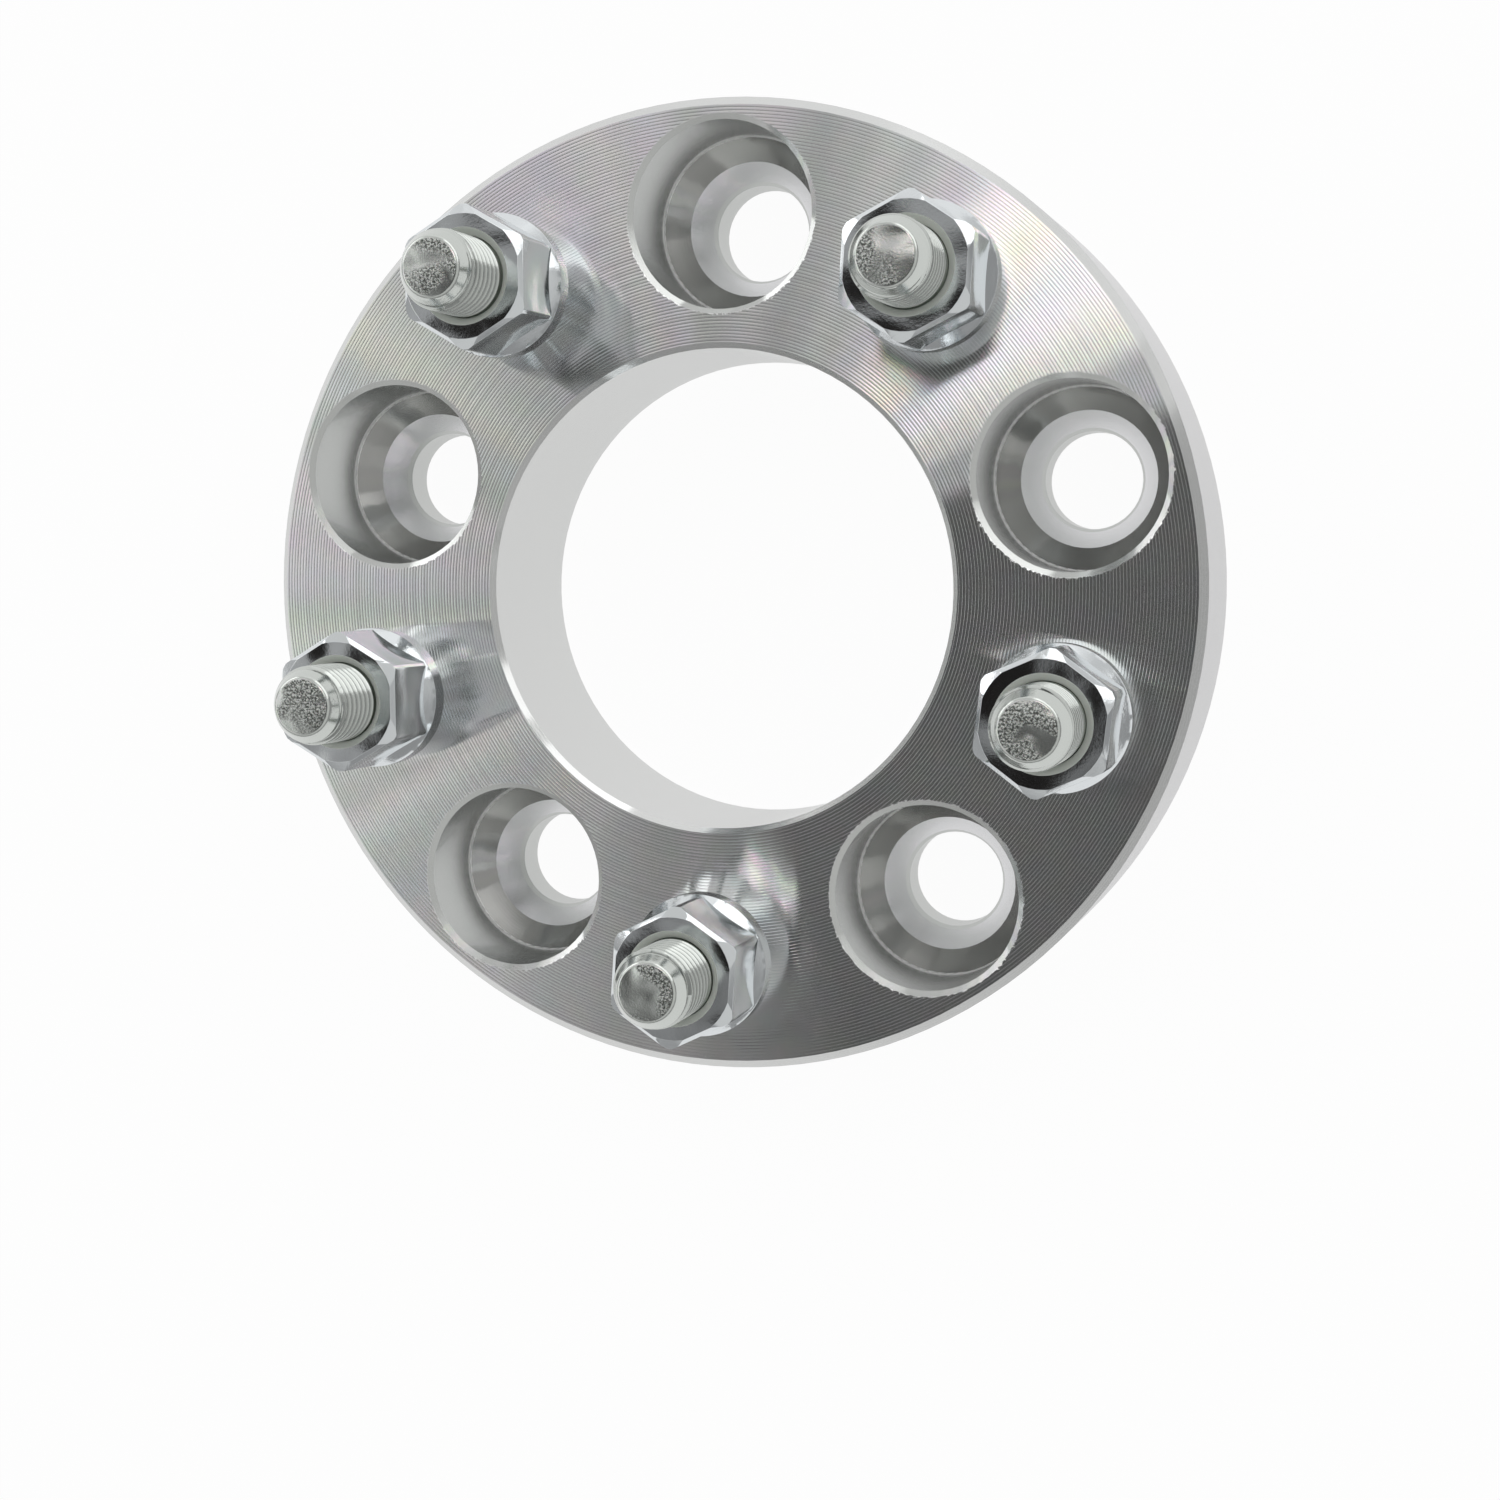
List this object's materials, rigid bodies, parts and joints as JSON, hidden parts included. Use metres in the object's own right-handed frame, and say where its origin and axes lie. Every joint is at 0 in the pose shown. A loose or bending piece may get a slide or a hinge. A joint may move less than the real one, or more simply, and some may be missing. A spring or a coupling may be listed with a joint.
{
  "type": "wheel spacer",
  "caption": "Bolt-on aluminium wheel spacer: a thick ring with stepped pockets for hub nuts and pressed-in studs carrying conical nuts.",
  "frame": {"origin": "centre of the face that bolts against the hub", "axes": "+Z along the wheel axis, from the hub towards the wheel; +Y through the middle of one pocket"},
  "size_m": [0.1494, 0.1494, 0.062],
  "materials": {
    "turned_aluminium": "bright turned",
    "zinc_stud": "clear zinc plated thread",
    "zinc_nut": "bright zinc plated"
  },
  "bodies": {
    "root": {"spacer_disc": "turned_aluminium", "wheel_stud_1": "zinc_stud", "wheel_stud_2": "zinc_stud", "wheel_stud_3": "zinc_stud", "wheel_stud_4": "zinc_stud", "wheel_stud_5": "zinc_stud", "lug_nut_1": "zinc_nut", "lug_nut_2": "zinc_nut", "lug_nut_3": "zinc_nut", "lug_nut_4": "zinc_nut", "lug_nut_5": "zinc_nut"}
  },
  "joints": []
}
